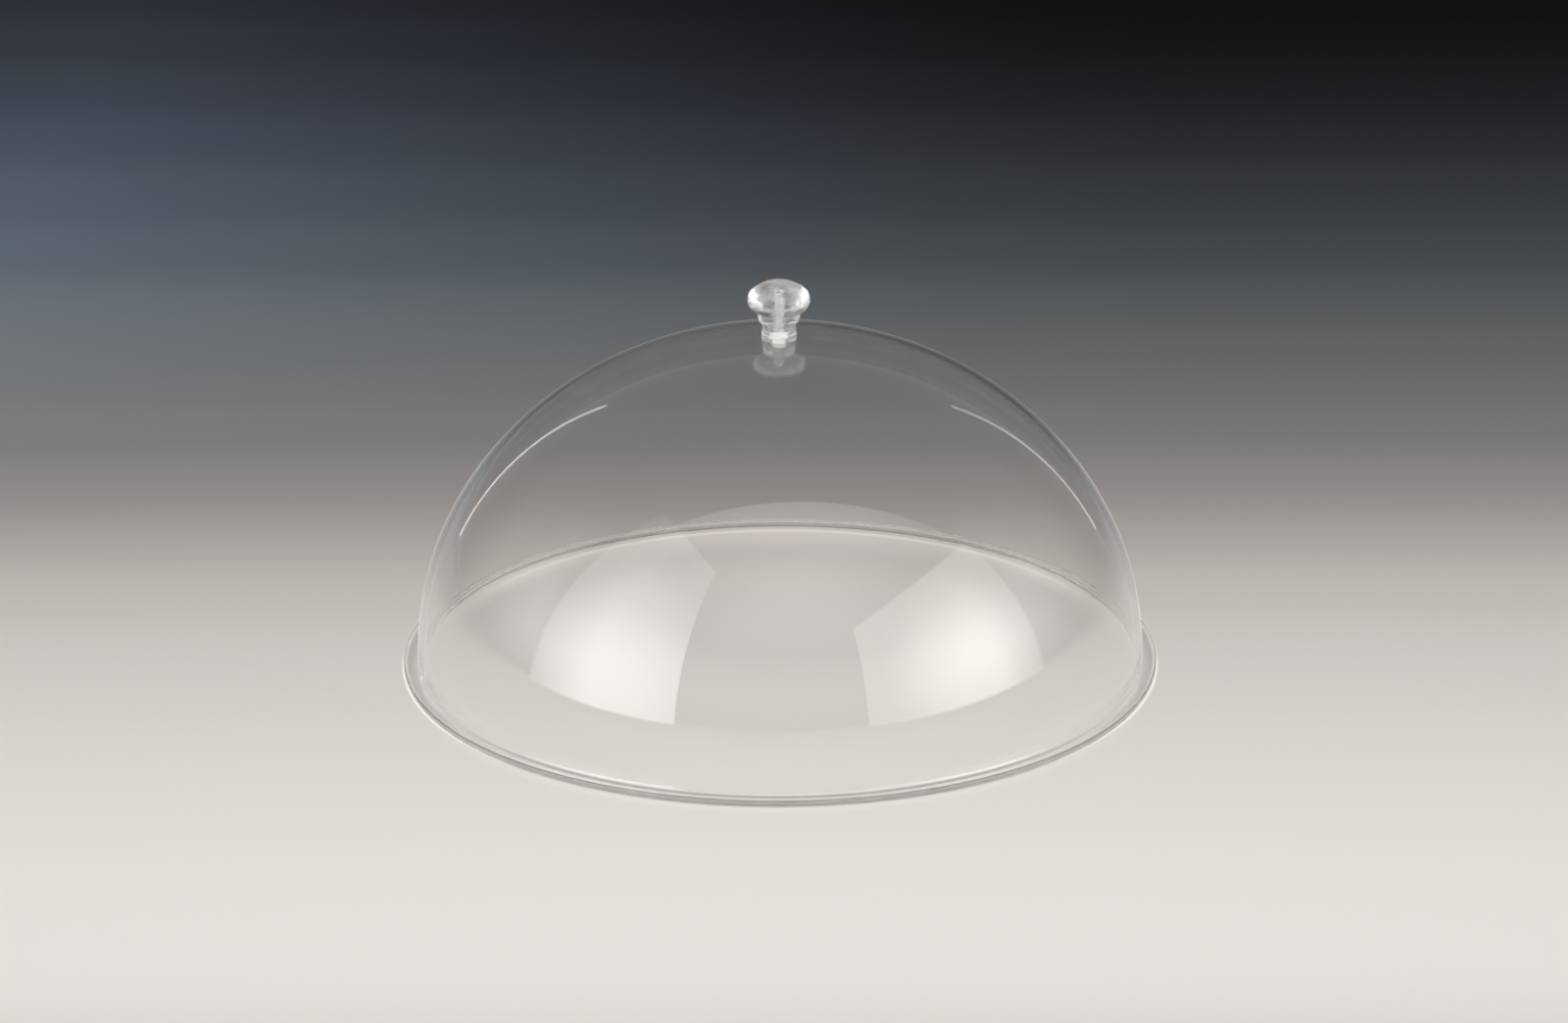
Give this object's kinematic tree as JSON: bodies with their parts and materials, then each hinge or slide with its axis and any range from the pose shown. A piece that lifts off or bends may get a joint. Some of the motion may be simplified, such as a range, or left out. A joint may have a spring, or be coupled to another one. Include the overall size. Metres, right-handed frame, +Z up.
{
  "type": "food cover",
  "caption": "Clear acrylic dome cover with a flat outward rim and a turned clear knob screwed to its crown, set over a platter or cake stand to shield food.",
  "frame": {"origin": "centre of the rim's underside, on the dome's axis", "axes": "+Z up the dome's axis towards the knob, the rim's underside in the XY plane"},
  "size_m": [0.4, 0.3999, 0.2085],
  "materials": {
    "clear_acrylic": "polished clear sheet, lightly handled",
    "knob_acrylic": "turned and polished clear rod",
    "clear_seal": "soft clear plastic, slightly cloudy",
    "natural_nylon": "moulded natural nylon"
  },
  "bodies": {
    "root": {"dome_shell": "clear_acrylic", "knob": "knob_acrylic", "knob_gasket": "clear_seal", "shoulder_bush": "natural_nylon", "knob_screw": "natural_nylon"}
  },
  "joints": []
}
